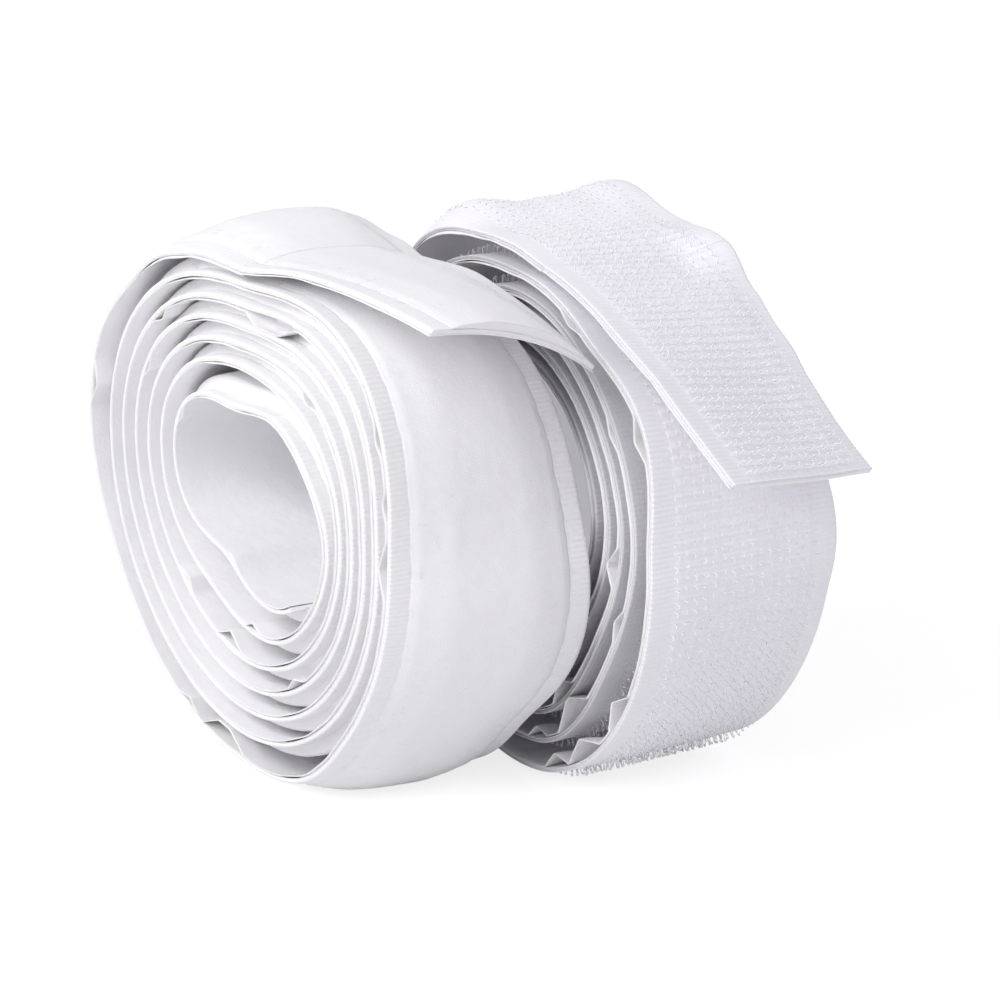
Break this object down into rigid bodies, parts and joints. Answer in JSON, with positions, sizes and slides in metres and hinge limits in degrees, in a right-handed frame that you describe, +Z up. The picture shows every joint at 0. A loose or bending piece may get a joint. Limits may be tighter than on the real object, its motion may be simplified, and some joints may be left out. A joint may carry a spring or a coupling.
{
  "type": "hook and loop tape roll",
  "caption": "Matched coreless rolls of white self-adhesive hook and loop fastening tape, loops beside hooks, with lifting free ends and peelable release liners.",
  "frame": {"origin": "on the table, under the middle of the pair's bounding box", "axes": "+Z up, +X along the hook roll's axis away from the loop roll, +Y away from the free ends"},
  "size_m": [0.0624, 0.0942, 0.0677],
  "materials": {
    "loop_ground": "woven white ground with ribbed selvedges",
    "loop_field": "soft brushed loop pile",
    "hook_ground": "woven white ground with ribbed selvedges",
    "hook_field": "rows of stiff monofilament hooks",
    "adhesive": "pressure-sensitive adhesive film",
    "liner": "satin white release liner"
  },
  "bodies": {
    "hook_roll": {"hook_ground": "hook_ground", "hook_field": "hook_field", "hook_adhesive": "adhesive", "hook_liner": "liner"},
    "hook_tail": {"hook_tail_ground": "hook_ground", "hook_tail_field": "hook_field", "hook_tail_adhesive": "adhesive", "hook_tail_liner": "liner"},
    "hook_tab": {"hook_liner_tab": "liner"},
    "loop_roll": {"loop_ground": "loop_ground", "loop_field": "loop_field", "loop_adhesive": "adhesive", "loop_liner": "liner"},
    "loop_tail": {"loop_tail_ground": "loop_ground", "loop_tail_field": "loop_field", "loop_tail_adhesive": "adhesive", "loop_tail_liner": "liner"},
    "loop_tab": {"loop_liner_tab": "liner"}
  },
  "joints": [
    {"name": "loop_roll_apart", "type": "slide", "parent": "hook_roll", "child": "loop_roll", "axis": [-1, 0, 0], "range_m": [0, 0.1]},
    {"name": "hook_tail_lift", "type": "hinge", "parent": "hook_roll", "child": "hook_tail", "pos_m": [0.01734, -0.01076, 0.06369], "axis": [-0.9964, -0.0217, 0.0823], "range_deg": [0, 60], "stiffness_Nm_per_rad": 0.004},
    {"name": "hook_liner_peel", "type": "hinge", "parent": "hook_tail", "child": "hook_tab", "pos_m": [0.01778, -0.03004, 0.05229], "axis": [0.9504, 0.2529, -0.181], "range_deg": [0, 20]},
    {"name": "loop_tail_lift", "type": "hinge", "parent": "loop_roll", "child": "loop_tail", "pos_m": [-0.01378, 0.00552, 0.06537], "axis": [-0.9895, -0.1373, -0.0446], "range_deg": [0, 60], "stiffness_Nm_per_rad": 0.003},
    {"name": "loop_liner_peel", "type": "hinge", "parent": "loop_tail", "child": "loop_tab", "pos_m": [-0.01187, -0.00863, 0.06287], "axis": [0.9821, 0.1557, -0.1063], "range_deg": [0, 20]}
  ]
}
